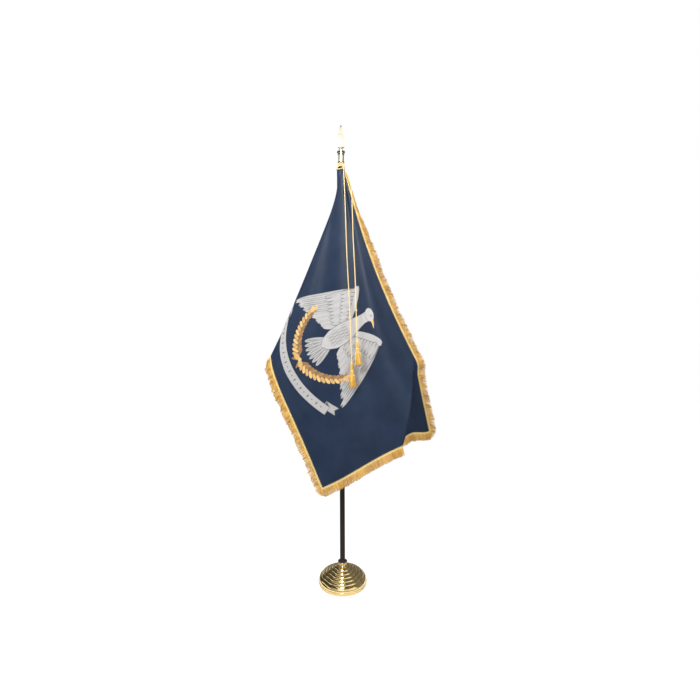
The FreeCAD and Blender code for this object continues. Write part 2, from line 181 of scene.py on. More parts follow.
def mottled(name, dark, light, grain, rough, depth, top=0.7):
    """A matt solid with mottled colour; where it is lighter it is rougher and stands higher."""
    look = Look(name)
    mottle = look.noise(look.place(), *grain)
    return look.give({
        "Base Color": look.ramp(mottle, (0.3, dark), (top, light)),
        "Roughness": look.mul_add(mottle, *rough), "Normal": look.bump(mottle, *depth)})


def woven(name, dark, light):
    """Plain-woven cloth with a fine weave, soft mottling, and the faint creases of its folding."""
    weave, crease = 900.0 * tau, 0.004
    look = Look(name)
    uv, u, v = look.flag_uv()
    warp, weft = (look.math("SINE", look.mul(way, weave)) for way in (u, v))
    normal = look.bump(look.mul(warp, weft), 0.25, 0.00015)
    normal = look.bump(look.noise(uv, 24.0, 4.0, 0.55), 0.22, 0.004, normal)
    folds = 0.0
    for way, size in ((u, FLY), (v, HOIST)):
        for share in (0.5, 0.25, 0.75):
            off = look.math("ABSOLUTE", look.math("SUBTRACT", way, size * share))
            near = look.math("SUBTRACT", 1.0, look.math("DIVIDE", off, crease))
            folds = look.math("ADD", folds, look.math("MAXIMUM", near, 0.0))
    broken = look.mul(folds, look.noise(uv, 5.0, 2.0, 0.5))
    return look.give({
        "Base Color": look.ramp(look.noise(uv, 7.0, 5.0, 0.6), (0.35, dark), (0.68, light)),
        "Roughness": 0.62, "Sheen Weight": 0.13, "Sheen Roughness": 0.35, "Specular IOR Level": 0.35,
        "Normal": look.bump(broken, 0.35, 0.0012, normal)})


def thread(name, dark, mid, light, scale=260.0, rough=0.42):
    """Rayon thread: a soft shine, with colour that changes from strand to strand."""
    look = Look(name)
    where = look.place()
    fine = look.noise(where, scale, 4.0, 0.7)
    mixed = look.mul_add(fine, 0.5, look.mul(look.tone(), 0.5))
    return look.give({
        "Base Color": look.ramp(mixed, (0.2, dark), (0.5, mid), (0.8, light)),
        "Roughness": rough, "Sheen Weight": 0.3,
        "Normal": look.bump(look.noise(where, scale * 5, 2.0, 0.5), 0.3, 0.0003)})


def satin(name, dark, light):
    """Close machine satin stitch: fine parallel threads with a soft shine."""
    look = Look(name)
    uv, u, v = look.flag_uv()
    patches = look.noise(uv, 60.0, 3.0, 0.5)
    mixed = look.mul_add(patches, 0.35, look.mul(look.tone(), 0.6))
    threads = look.math("SINE", look.mul(look.mul_add(v, 0.45, u), 1100.0 * tau))
    return look.give({
        "Base Color": look.ramp(mixed, (0.25, dark), (0.75, light)),
        "Roughness": 0.55, "Sheen Weight": 0.15,
        "Normal": look.bump(threads, 0.3, 0.00012, look.bump(patches, 0.2, 0.0008))})


MATS = {name: make(name, *values) for name, make, *values in (
    ("stained_wood", stained_wood),
    # darker and lighter colour, least and greatest roughness, grooves, dents
    ("steel", metal, (0.42, 0.43, 0.45), (0.60, 0.61, 0.63), (0.28, 0.5), 0.2),
    ("polished_brass", metal, (0.78, 0.58, 0.25), (0.88, 0.70, 0.36), (0.04, 0.12), 0.10, 0.10),
    ("gold_cap", metal, (0.86, 0.755, 0.51), (0.92, 0.83, 0.60), (0.24, 0.32), 0.04),
    ("gold_finial", metal, (0.74, 0.68, 0.50), (0.90, 0.85, 0.68), (0.16, 0.28), 0.08, 0.05),
    # darker and lighter colour, grain of the mottling, roughness (how it varies, least), relief
    ("cast_iron", mottled, (0.03, 0.03, 0.032), (0.09, 0.088, 0.085),
     (120, 6, 0.65), (0, 0.7), (0.5, 0.001)),
    ("fibre", mottled, (0.22, 0.05, 0.03), (0.38, 0.11, 0.06), (300, 6, 0.65), (0, 0.8), (0.5, 0.0004)),
    ("tan_leather", mottled, (0.20, 0.10, 0.04), (0.40, 0.23, 0.11),
     (160, 6, 0.65), (0, 0.6), (0.5, 0.0006)),
    ("felt", mottled, (0.02, 0.02, 0.022), (0.07, 0.07, 0.08),
     (900, 6, 0.8), (0, 0.95), (0.6, 0.001), 0.75),
    ("black_plastic", mottled, (0.012, 0.012, 0.012), (0.03, 0.03, 0.031),
     (700, 3, 0.6), (0.2, 0.38), (0.25, 0.0004), 0.8),
    ("navy_cloth", woven, (0.0050, 0.0155, 0.042), (0.0085, 0.0225, 0.056)),
    # dark, middle and light colour
    ("gold_fringe", thread, (0.36, 0.165, 0.015), (0.69, 0.385, 0.052), (0.92, 0.60, 0.14)),
    ("fringe_heading", thread, (0.55, 0.34, 0.08), (0.80, 0.60, 0.22), (0.92, 0.78, 0.42)),
    ("gold_cord", thread, (0.52, 0.34, 0.10), (0.80, 0.60, 0.26), (0.95, 0.80, 0.48)),
    ("tassel_gold", thread, (0.45, 0.20, 0.015), (0.76, 0.42, 0.05), (0.95, 0.64, 0.15)),
    ("navy_thread", thread, (0.010, 0.016, 0.040), (0.018, 0.028, 0.066), (0.030, 0.044, 0.095)),
    ("applique_gold", thread, (0.42, 0.24, 0.07), (0.60, 0.38, 0.13), (0.74, 0.52, 0.22), 120.0, 0.55),
    ("applique_bronze", thread, (0.16, 0.08, 0.025), (0.27, 0.14, 0.05), (0.38, 0.21, 0.08), 120.0, 0.6),
    ("applique_white", satin, (0.32, 0.315, 0.315), (0.45, 0.44, 0.435)),
    ("applique_grey", satin, (0.055, 0.053, 0.055), (0.11, 0.105, 0.105)),
)}


# ------ mesh helpers
def unit(vectors):
    return vectors / (np.linalg.norm(vectors, axis=-1, keepdims=True) + 1e-12)


def add_mesh(name, verts, faces, material, body="upper_pole", stands_for=None, smooth=True,
             tones=None, uvs=None):
    """A mesh that rides on a body. tones is one value per vertex, uvs one pair per vertex."""
    mesh = bpy.data.meshes.new(name)
    mesh.from_pydata([tuple(p) for p in verts], [], [tuple(f) for f in faces])
    mesh.materials.append(MATS[material])
    if smooth:
        mesh.polygons.foreach_set("use_smooth", [True] * len(mesh.polygons))
    if tones is not None:
        layer = mesh.attributes.new("tone", "FLOAT", "POINT")
        layer.data.foreach_set("value", np.asarray(tones, np.float32))
    if uvs is not None:
        layer = mesh.uv_layers.new(name="flag")
        corner = np.empty(len(mesh.loops), np.int32)
        mesh.loops.foreach_get("vertex_index", corner)
        layer.data.foreach_set("uv", np.asarray(uvs, np.float32)[corner].ravel())
    mesh.update()
    made = bpy.data.objects.new(name, mesh)
    bpy.context.scene.collection.objects.link(made)
    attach(made, body)
    if stands_for:
        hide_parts(stands_for)


class Bundle:
    """Collects many small closed tubes into one mesh."""

    def __init__(self):
        self.verts, self.faces, self.tones, self.count = [], [], [], 0

    def tube(self, points, radii, sides, tone=0.5, lobes=0, pitch=1.0, depth=0.0, start=0.0):
        """A closed tube along points. With lobes, its outline is a rope of that many plies."""
        points = np.asarray(points, float)
        n = len(points)
        radii = np.broadcast_to(np.asarray(radii, float), (n,))
        tangent = unit(np.gradient(points, axis=0))
        side = np.empty_like(points)
        seed = np.array([1.0, 0.0, 0.0]) if abs(tangent[0, 0]) < 0.8 else np.array([0.0, 1.0, 0.0])
        for i in range(n):
            seed = unit(seed - tangent[i] * (seed @ tangent[i]))
            side[i] = seed
        other = np.cross(tangent, side)
        length = np.concatenate([[0], np.cumsum(np.linalg.norm(np.diff(points, axis=0), axis=1))])
        angle = np.arange(sides) * tau / sides
        ring = np.broadcast_to(angle, (n, sides))
        reach = radii[:, None] * np.ones(sides)
        if lobes:
            phase = length[:, None] / pitch * tau + start
            reach = reach * (1 - depth + depth * np.abs(np.cos((ring - phase) * lobes / 2)))
        verts = (points[:, None] + side[:, None] * (np.cos(ring) * reach)[..., None]
                 + other[:, None] * (np.sin(ring) * reach)[..., None]).reshape(-1, 3)
        base = self.count
        for a in range(base, base + (n - 1) * sides, sides):
            for k in range(sides):
                k2 = (k + 1) % sides
                self.faces.append((a + k, a + k2, a + sides + k2, a + sides + k))
        self.faces.append(tuple(base + k for k in reversed(range(sides))))
        self.faces.append(tuple(base + (n - 1) * sides + k for k in range(sides)))
        self.verts.append(verts)
        self.tones.append(np.full(len(verts), tone))
        self.count += len(verts)

    def build(self, name, material, stands_for=None, body="upper_pole"):
        add_mesh(name, np.concatenate(self.verts), self.faces, material, body,
                 stands_for, tones=np.concatenate(self.tones))


# ------ the drape, as in the frame
# One row per straight line of cloth: start down the hoist, angle on the flat flag, swing to the
# right, swing to the front, place round the pole.
RULINGS = np.array([
    (0.00, 0, 21.5, 9.5, 50),
    (0.02, 12, 13.0, 12.0, 25),
    (0.05, 24, 1.85, 8.5, -15),
    (0.10, 36, -10.75, 4.5, -55),
    (0.15, 46, -20.4, 3.5, -85),
    (0.17, 52, -21.9, -1.0, -105),
    (0.19, 63, -14.0, -9.0, -125),
    (0.20, 76, -3.0, -9.0, -140),
    (0.22, 90, 0.0, 0.0, -150)], float)
SLOPES = np.gradient(RULINGS, axis=0)
# The free corner folds back along a slanting crease that starts on the top edge at FLUTE_START.
FLUTE_FROM, FLUTE_TO, FLUTE_RAMP = 0.305, 0.449, 0.040
FLUTE_TURN = radians(100)
FLUTE_START = 1.146
ACROSS = (0.93, 0.36)                      # how a shift across the front runs right and up
EDGE_BOW, BOW_LENGTH = 0.0640, 1.56        # the top edge hangs in a bow towards the pole
FRONT_LIFT, CREASE_LIFT = 0.086, 0.052
HEM_SHIFT, HEM_FLAT = 0.0020, 0.02         # near its top the loose hem is drawn left and flattened
VALLEY_AT, VALLEY_DEPTH = 0.13, 0.020      # where the deepest front fold lies, as a share of all rulings


def ease(x):
    """0 up to 0, 1 from 1 on, smooth between."""
    x = np.clip(x, 0, 1)
    return x * x * (3 - 2 * x)


def ruling(t):
    """The rulings' values at t rows from the first, along a smooth curve through all rows."""
    i = np.minimum(t.astype(int), len(RULINGS) - 2)
    f = (t - i)[..., None]
    return ((2 * f**3 - 3 * f**2 + 1) * RULINGS[i] + (f**3 - 2 * f**2 + f) * SLOPES[i]
            + (3 * f**2 - 2 * f**3) * RULINGS[i + 1] + (f**3 - f**2) * SLOPES[i + 1])


def ruling_at(u, v):
    """Which ruling a point of the flat flag lies on, found by halving."""
    low = np.zeros_like(u)
    high = np.full_like(u, len(RULINGS) - 1.0)
    for _ in range(32):
        middle = (low + high) / 2
        found = ruling(middle)
        angle = np.radians(found[..., 1])
        after = (v - found[..., 0]) * np.cos(angle) > u * np.sin(angle)
        low = np.where(after, middle, low)
        high = np.where(after, high, middle)
    return (low + high) / 2


def flute(u, v):
    """The free corner folds back: shift across the front, and to the rear."""
    width = (u - FLUTE_START) / (FLY - FLUTE_START)
    width = np.maximum((width + np.hypot(width, 0.02)) / 2 - 0.01, 1e-4)
    turn = FLUTE_TURN * ease(width / 0.25)
    across, rear = np.zeros_like(u), np.zeros_like(u)
    parts = 60
    step = np.maximum(FLUTE_TO * width - v, 0) / parts
    for k in range(parts):
        at = (v + step * (k + 0.5)) / width
        angle = turn * ease((at - FLUTE_FROM) / FLUTE_RAMP) * ease((FLUTE_TO - at) / FLUTE_RAMP)
        across -= (1 - np.cos(angle)) * step
        rear += np.sin(angle) * step
    return across, rear


def round_pole(angle, down, radius):
    """Across and front of a point round the pole: near its top the loose hem is drawn to the left."""
    drawn = ease((0.29 - down) / 0.15)
    return (radius * (1 + HEM_FLAT * drawn) * np.sin(angle) - HEM_SHIFT * drawn,
            -radius * (1 - HEM_FLAT * drawn) * np.cos(angle))


def drape(u, v):
    """Where the flat flag's points hang before the cloth simulation."""
    u = np.maximum(u, 1e-4)
    t = ruling_at(u, v)
    start, _, right, front, around = np.moveaxis(ruling(t), -1, 0)
    s = np.hypot(u, v - start)
    way = unit(np.stack([np.tan(np.radians(right)), -np.tan(np.radians(front)), -np.ones_like(u)], -1))
    around = np.radians(around)
    foot = np.stack([*round_pole(around, start, HOIST_R), HOIST_TOP_Z - start], -1)
    across, rear = flute(u, v)
    share = t / (len(RULINGS) - 1.0)
    bow = EDGE_BOW * np.sin(pi * np.minimum(s / BOW_LENGTH, 1)) * ease(1 - share / 0.3)
    lift = FRONT_LIFT * ease((s - 0.5) / 1.2) * ease((share - 0.05) / 0.3) * ease((0.62 - share) / 0.1)
    lift += CREASE_LIFT * ease((u - 1.0) / 0.5) * ease((v + 0.008) / 0.217) * ease((0.95 - v) / 0.57)
    points = foot + way * s[..., None]
    points[..., 0] += ACROSS[0] * across - bow
    points[..., 1] += 0.9 * rear
    points[..., 2] += ACROSS[1] * across + lift
    return points


def soft_flutes(points, u, v):
    """Adds the shallow folds that fan out from the top of the pole."""
    t = ruling_at(np.maximum(u, 1e-4), v) / (len(RULINGS) - 1.0)
    s = np.hypot(u, v)
    grow = ease((s - 0.12) / 0.7)
    front = ease((t - 0.02) / 0.08) * ease((0.5 - t) / 0.12)
    rear = ease((t - 0.62) / 0.08) * ease((0.97 - t) / 0.08)
    valley = ease((s - 0.03) / 0.14) * ease((0.95 - s) / 0.6) * np.exp(-((t - VALLEY_AT) / 0.045) ** 2)
    points = points.copy()
    points[..., 1] += 0.010 * grow * front * np.sin(tau * (t * 6.2 + 0.1))
    points[..., 1] += 0.016 * grow * rear * np.sin(tau * (t * 7.0))
    points[..., 1] += VALLEY_DEPTH * valley
    return points


def smoothed(grid):
    """Averages a grid of vectors with its neighbours in both directions."""
    for axis in (0, 1):
        at = np.arange(grid.shape[axis])
        before = np.take(grid, np.maximum(at - 1, 0), axis)
        after = np.take(grid, np.minimum(at + 1, at[-1]), axis)
        grid = 0.5 * grid + 0.25 * (before + after)
    return grid


# ------ cloth simulation
GRID_U, GRID_V = 150, 89
SIM_FRAMES = 40
CLOTH = {
    "quality": 7, "mass": 0.12, "air_damping": 4.0,
    "tension_stiffness": 20.0, "compression_stiffness": 12.0, "shear_stiffness": 6.0,
    "bending_stiffness": 0.8, "tension_damping": 10.0, "compression_damping": 10.0,
    "shear_damping": 10.0, "bending_damping": 2.0, "vertex_group_mass": "pins", "pin_stiffness": 2.0}


def grid_faces(nu, nv):
    i, j = np.meshgrid(np.arange(nu - 1), np.arange(nv - 1), indexing="ij")
    a = (i * nv + j).ravel()
    return np.stack([a, a + nv, a + nv + 1, a + 1], 1)


def pin(sim, nu, nv):
    """Holds the hoist, and the other edges and the middle less and less firmly."""
    pins = sim.vertex_groups.new(name="pins")
    for i in range(nu):
        for j in range(nv):
            from_edge = min(nu - 1 - i, j, nv - 1 - j)
            weight = 0.16 + 0.25 * exp(-i / 6) + 0.45 * exp(-from_edge / 3)
            pins.add([i * nv + j], 1.0 if i == 0 else min(weight, 0.95), "REPLACE")


def hang(points, flat):
    """Lets the draped sheet settle as cloth whose unstretched shape is the flat flag."""
    nu, nv = points.shape[:2]
    scene = bpy.context.scene
    mesh = bpy.data.meshes.new("cloth_sim")
    mesh.from_pydata(points.reshape(-1, 3).tolist(), [], grid_faces(nu, nv).tolist())
    sim = bpy.data.objects.new("cloth_sim", mesh)
    scene.collection.objects.link(sim)
    sim.shape_key_add(name="Basis")
    rest = sim.shape_key_add(name="flat", from_mix=False)
    rest.data.foreach_set("co", flat.reshape(-1, 3).astype(np.float32).ravel())
    pin(sim, nu, nv)
    cloth = sim.modifiers.new("Cloth", "CLOTH")
    for key, value in CLOTH.items():
        setattr(cloth.settings, key, value)
    cloth.settings.rest_shape_key = rest
    cloth.collision_settings.use_collision = False
    cloth.point_cache.frame_start, cloth.point_cache.frame_end = 1, SIM_FRAMES
    scene.frame_start, scene.frame_end = 1, SIM_FRAMES
    for f in range(1, SIM_FRAMES + 1):
        scene.frame_set(f)
    settled = sim.evaluated_get(bpy.context.evaluated_depsgraph_get()).data
    out = np.empty(nu * nv * 3, np.float32)
    settled.vertices.foreach_get("co", out)
    bpy.data.objects.remove(sim)
    scene.frame_set(1)
    return out.reshape(nu, nv, 3).astype(float)


class Sheet:
    """The hung flag as a smooth surface over the flat flag's (u, v)."""

    def __init__(self, points):
        self.nu, self.nv = points.shape[:2]
        self.padded = np.pad(points, ((1, 1), (1, 1), (0, 0)), "reflect", reflect_type="odd")

    @staticmethod
    def weights(f):
        return np.stack([-0.5 * f + f**2 - 0.5 * f**3, 1 - 2.5 * f**2 + 1.5 * f**3,
                         0.5 * f + 2 * f**2 - 1.5 * f**3, -0.5 * f**2 + 0.5 * f**3], -1)

    def at(self, u, v):
        u, v = np.broadcast_arrays(np.asarray(u, float), np.asarray(v, float))
        x = np.clip(u / FLY, -0.005, 1.005) * (self.nu - 1)
        y = np.clip(v / HOIST, -0.008, 1.008) * (self.nv - 1)
        i = np.clip(np.floor(x).astype(int), 0, self.nu - 2)
        j = np.clip(np.floor(y).astype(int), 0, self.nv - 2)
        wx, wy = self.weights(x - i), self.weights(y - j)
        total = 0
        for a in range(4):
            for b in range(4):
                total = total + (wx[..., a] * wy[..., b])[..., None] * self.padded[i + a, j + b]
        return total

    def normal(self, u, v, step=0.006):
        """Unit normal, towards the flag's front."""
        across = self.at(u + step, v) - self.at(u - step, v)
        down = self.at(u, v + step) - self.at(u, v - step)
        return unit(np.cross(down, across))

    def lifted(self, u, v, height):
        return self.at(u, v) + self.normal(u, v) * np.asarray(height)[..., None]


def make_sheet():
    u, v = np.meshgrid(np.linspace(0, FLY, GRID_U), np.linspace(0, HOIST, GRID_V), indexing="ij")
    goal = soft_flutes(drape(u, v), u, v)
    flat = np.stack([u, np.zeros_like(u), HOIST_TOP_Z - v], -1)
    moved = hang(goal, flat) - goal
    for _ in range(3):
        moved = smoothed(moved)
    return Sheet(goal + moved)


SHEET = make_sheet()
PANEL_STEP = 5.5 * MM


def flag_panel():
    """The cloth itself, a closed thin solid."""
    nu, nv = (round(size / PANEL_STEP) + 1 for size in (FLY, HOIST))
    u, v = np.meshgrid(np.linspace(0, FLY, nu), np.linspace(0, HOIST, nv), indexing="ij")
    middle, n = SHEET.at(u, v), SHEET.normal(u, v)
    verts = [(middle + n * half).reshape(-1, 3) for half in (CLOTH_HALF, -CLOTH_HALF)]
    size = nu * nv
    front = grid_faces(nu, nv)
    corner = np.arange(size).reshape(nu, nv)
    rim = np.concatenate([corner[:, 0], corner[-1, 1:], corner[-2::-1, -1], corner[0, -2:0:-1]]).tolist()
    walls = [(a, a + size, b + size, b) for a, b in zip(rim, rim[1:] + rim[:1])]
    faces = front.tolist() + (front[:, ::-1] + size).tolist() + walls
    uv = np.stack([u, v], -1).reshape(-1, 2)
    add_mesh("flag_panel", np.concatenate(verts), faces, "navy_cloth",
             stands_for="flag_cloth", uvs=np.concatenate([uv, uv]))


# ------ fringe
THREAD_STEPS = 6
THREAD_R = np.linspace(0.75 * MM, 0.60 * MM, THREAD_STEPS + 1)


def edge_frame(edge, e):
    """Points, outward directions and normals at distances e along one of the flag's free edges."""
    if edge == "top":
        u, v, du, dv = e, np.zeros_like(e), 0.0, -1.0
    elif edge == "fly":
        u, v, du, dv = np.full_like(e, FLY), e, 1.0, 0.0
    else:
        u, v, du, dv = e, np.full_like(e, HOIST), 0.0, 1.0
    here = SHEET.at(u, v)
    out = unit(here - SHEET.at(u - 0.012 * du, v - 0.012 * dv))
    return here, out, SHEET.normal(u - 0.004 * du, v - 0.004 * dv)


def wobble(e, seed, scale):
    """Smooth random values along an edge."""
    rng = np.random.default_rng(seed)
    total = np.zeros_like(e)
    for k in range(1, 6):
        total += rng.normal() / k * np.sin(e / scale * k * 1.7 + rng.uniform(0, tau))
    return total


def fringe(edge, start, length, seed, droop, corner=None):
    """Loose threads in two layers under a woven heading that is sewn along the edge.

    droop says how much the threads hang down at a distance e; corner turns the last threads round
    the flag's free corner, so that the fringe runs on without a gap.
    """
    threads = Bundle()
    spacing, uneven = 1.5 * MM, 0.4 * MM
    for layer in (-1, 1):
        e = np.arange(start, length, spacing)
        e = e + RNG.uniform(-uneven, uneven, len(e)) + uneven * layer
        e = np.clip(e, start, length)
        here, out, normal = edge_frame(edge, e)
        along = np.cross(out, normal)
        sag = droop(e)
        tuft = np.maximum(wobble(e, seed + 3, 0.021), 0) ** 2 * 0.10
        reach = 0.97 + 0.035 * wobble(e, seed, 0.05) + RNG.normal(0, 0.045, len(e)) + tuft * 0.3
        lean = 0.16 * wobble(e, seed + 5, 0.03) + RNG.normal(0, 0.06, len(e)) + tuft
        puff = 0.10 * layer + 0.12 * wobble(e, seed + 9, 0.06) + RNG.normal(0, 0.05, len(e))
        tone = np.clip(RNG.uniform(0.1, 0.9, len(e)) + 0.12 * wobble(e, seed + 13, 0.04), 0, 1)
        for k in range(len(e)):
            points = [here[k] + out[k] * 0.002 + normal[k] * 0.0008 * layer]
            for s in range(1, THREAD_STEPS + 1):
                f = s / THREAD_STEPS
                way = (out[k] + along[k] * lean[k] * f + normal[k] * puff[k] * (0.4 + 0.6 * f)
                       + DOWN * sag[k] * (0.25 + 0.9 * f))
                points.append(points[-1] + unit(way) * FRINGE * reach[k] / THREAD_STEPS)
            threads.tube(points, THREAD_R, 4, tone[k])
    if corner is not None:
        corner_fan(threads, corner, droop(np.array([length]))[0])
    threads.build("fringe_" + edge + "_threads", "gold_fringe", "fringe_" + edge)
    heading(edge, start, length)


def corner_fan(threads, v, sag):
    """Threads that fan round the free corner at (FLY, v), from one edge's direction to the other's."""
    here, out_fly, normal = edge_frame("fly", np.array([v]))
    out_side = edge_frame("top" if v == 0 else "bottom", np.array([FLY]))[1]
    count = 44
    for k in range(count):
        f = (k + RNG.uniform(0, 1)) / count
        way = unit(out_fly[0] * (1 - f) + out_side[0] * f)
        layer = -1 if k % 2 else 1
        points = [here[0] + way * 0.001 + normal[0] * 0.0010 * layer]
        lean = RNG.normal(0, 0.06, 3)
        for s in range(1, THREAD_STEPS + 1):
            g = s / THREAD_STEPS
            step = way + lean * g + normal[0] * 0.10 * layer + DOWN * sag * (0.2 + 0.8 * g)
            reach = FRINGE * RNG.uniform(0.84, 0.96) / THREAD_STEPS
            points.append(points[-1] + unit(step) * reach)
        threads.tube(points, THREAD_R, 4, RNG.uniform(0.1, 0.9))


def heading(edge, start, length):
    """The fringe's woven heading: three braided rows on each face, lapping over the flag's edge."""
    braid = Bundle()
    e = np.arange(start, length, 0.0022)
    here, out, normal = edge_frame(edge, e)
    phase = e / 0.0044 * pi
    for side in (-1, 1):
        for row, shift in enumerate((-0.0030, 0.0002, 0.0034)):
            zig = 0.0011 * np.sin(phase + row * 2.0)
            lift = (0.0013 + 0.0004 * np.cos(phase + row)) * side
            points = here + out * (shift + zig)[:, None] + normal * lift[:, None]
            braid.tube(points, 0.0013, 5, 0.35 + 0.2 * row)
    braid.build("fringe_" + edge + "_heading", "fringe_heading")


# ------ sleeve and stitching
def sleeve():
    """The sewn pole hem: a loose tube with pull wrinkles and a rolled hem at both ends."""
    turns, rows = 84, 200
    theta = np.arange(turns) * tau / turns
    th, v = np.meshgrid(theta, np.linspace(0, HOIST, rows), indexing="ij")
    pull = 0.0005 * np.sin(3 * th + 40 * v + 2 * np.sin(9 * v)) + 0.0004 * np.sin(5 * th - 65 * v)
    hem = 0.0005 * ease((0.012 - np.minimum(v, HOIST - v)) / 0.002)
    outer = SLEEVE_R + pull + hem
    inner = outer - 0.0007 - 1.4 * hem
    verts = []
    for r in (outer, inner):
        verts.append(np.stack([*round_pole(th, v, r), HOIST_TOP_Z - v], -1).reshape(-1, 3))
    faces = []
    size = turns * rows
    for i in range(turns):
        here, there = i * rows, (i + 1) % turns * rows
        for j in range(rows - 1):
            quad = (here + j, here + j + 1, there + j + 1, there + j)
            faces += [quad, tuple(size + k for k in reversed(quad))]
        for a, b in ((there, here), (here + rows - 1, there + rows - 1)):
            faces.append((a, size + a, size + b, b))
    uv = np.stack([-SLEEVE_R * th, v], -1).reshape(-1, 2)
    add_mesh("flag_sleeve_cloth", np.concatenate(verts), faces, "navy_cloth",
             stands_for="flag_sleeve", uvs=np.concatenate([uv, uv]))
    sleeve_stitches()


def sleeve_stitches():
    rows = Bundle()
    count, inset = 44, 9.5 * MM
    for at in (inset, HOIST - inset):
        for k in range(count):
            angle = np.linspace(k, k + 0.62, 3) / count * tau
            r = SLEEVE_R + 0.0008 + 0.0005 * np.sin(3 * angle + 40 * at + 2 * sin(9 * at))
            points = np.stack([*round_pole(angle, at, r), np.full(3, HOIST_TOP_Z - at)], -1)
            rows.tube(points, 0.00028, 4, 0.4)
    rows.build("flag_sleeve_stitches", "navy_thread")


def seam_stitches():
    """Lock stitches on both faces of the cloth: beside the fringe and along the sleeve seam."""
    rows = Bundle()
    pitch, long, inset = 4.2 * MM, 2.8 * MM, 10.5 * MM
    lines = [("u", inset, 0.03, FLY), ("u", HOIST - inset, 0.04, FLY), ("v", FLY - inset, 0.0, HOIST),
             ("v", 0.010, 0.0, HOIST), ("v", 0.016, 0.0, HOIST)]
    for along, at, start, end in lines:
        e = np.arange(start + 0.012, end - 0.012, pitch)
        for side in (-1, 1):
            parts = []
            for f in (0.0, 0.5, 1.0):
                run = e + long * f
                across = np.full_like(run, at)
                u, v = (run, across) if along == "u" else (across, run)
                rise = 0.0002 + 0.00035 * sin(pi * f) + CLOTH_HALF
                parts.append(SHEET.lifted(u, v, rise * side))
            for points in np.stack(parts, 1):
                rows.tube(points, 0.00025, 4, 0.5)
    rows.build("flag_seam_stitches", "navy_thread")


# ------ the emblem, sewn on both faces
EMBLEM_U, EMBLEM_V, EMBLEM_SCALE = 0.825, 0.488, 1.08      # its middle on the flat flag, and its size


def inside(points, outline):
    """Which points lie inside a closed outline."""
    x, y = points[:, 0][:, None], points[:, 1][:, None]
    ax, ay = outline[:, 0][None], outline[:, 1][None]
    bx, by = np.roll(ax, -1, 1), np.roll(ay, -1, 1)
    crossing = (ay > y) != (by > y)
    at = ax + (y - ay) / np.where(by == ay, 1e-12, by - ay) * (bx - ax)
    return (crossing & (x < at)).sum(1) % 2 == 1


class Patchwork:
    """Sewn-on shapes of one colour, each a thin solid through the cloth that shows on both faces."""

    CELL = 0.0065

    def __init__(self):
        self.verts, self.faces, self.uvs, self.tones, self.count = [], [], [], [], 0

    def add(self, outline, lift, tone=0.5):
        """outline is in metres right of and above the emblem's middle; lift is in millimetres."""
        outline = np.asarray(outline, float) * EMBLEM_SCALE
        edge = []
        for a, b in zip(outline, np.roll(outline, -1, 0)):
            parts = max(1, ceil(np.linalg.norm(b - a) / self.CELL))
            edge += [a + (b - a) * k / parts for k in range(parts)]
        edge = np.array(edge)
        columns, rows = (np.arange(*ends, self.CELL) for ends in zip(edge.min(0), edge.max(0)))
        grid = np.stack(np.meshgrid(columns, rows), -1).reshape(-1, 2)
        grid = grid[inside(grid, edge)]
        if len(grid):
            near = np.linalg.norm(grid[:, None] - edge[None], axis=2).min(1)
            grid = grid[near > self.CELL * 0.45]
        points = [Vector(p) for p in np.concatenate([edge, grid])]
        rim = [(k, (k + 1) % len(edge)) for k in range(len(edge))]
        flat, _, tris = delaunay_2d_cdt(points, rim, [], 1, 1e-7)[:3]
        flat = np.array([tuple(p) for p in flat])
        u, v = EMBLEM_U + flat[:, 0], EMBLEM_V - flat[:, 1]
        height = CLOTH_HALF + lift * MM
        size = len(flat)
        self.verts += [SHEET.lifted(u, v, height), SHEET.lifted(u, v, -height)]
        self.uvs += [np.stack([u, v], 1)] * 2
        self.tones += [np.full(2 * size, tone)]
        front, back = self.count, self.count + size
        used = {}
        for a, b, c in tris:
            area = (u[b] - u[a]) * (v[c] - v[a]) - (u[c] - u[a]) * (v[b] - v[a])
            if area > 0:
                a, c = c, a
            self.faces.append((front + a, front + b, front + c))
            self.faces.append((back + c, back + b, back + a))
            used.update({(a, b): True, (b, c): True, (c, a): True})
        for a, b in used:
            if (b, a) not in used:
                self.faces.append((front + b, front + a, back + a, back + b))
        self.count += 2 * size

    def build(self, name, material):
        add_mesh(name, np.concatenate(self.verts), self.faces, material, smooth=False,
                 tones=np.concatenate(self.tones), uvs=np.concatenate(self.uvs))


def lerp(a, b, f):
    return np.asarray(a, float) * (1 - f) + np.asarray(b, float) * f


def feather(root, tip, width, grow=0.0):
    """A leaf-shaped outline from root to tip, widest near the tip; grow widens it all round."""
    root, tip = np.asarray(root, float), np.asarray(tip, float)
    axis = tip - root
    length = np.linalg.norm(axis)
    axis = axis / length
    across = np.array([-axis[1], axis[0]])
    left, right = [], []
    for f in (0.0, 0.15, 0.35, 0.55, 0.72, 0.86, 0.95):
        half = width / 2 * (0.55 + 0.45 * sin(min(f / 0.6, 1) * pi / 2))
        half *= sqrt(max(1 - max((f - 0.6) / 0.4, 0) ** 2, 0))
        half += grow
        middle = root + axis * (length * f)
        left.append(middle + across * half)
        right.append(middle - across * half)
    end = tip + axis * grow
    return left + [end] + right[::-1]


def disc(centre, r_x, r_y=None, count=22):
    angles = [tau * k / count for k in range(count)]
    return [(centre[0] + r_x * cos(a), centre[1] + (r_y or r_x) * sin(a)) for a in angles]


RIM = 0.0021                  # how far the dark edging shows round a sewn shape


def sewn(white, grey, root, tip, width, lift, tone=0.5, shaft=False):
    """A white feather on a dark edging, with a dark quill line if it is a flight feather."""
    grey.add(feather(root, tip, width, RIM), lift - 0.06)
    white.add(feather(root, tip, width), lift, tone)
    if shaft:
        grey.add(feather(lerp(root, tip, 0.45), lerp(root, tip, 0.93), 0.0030), lift + 0.02)


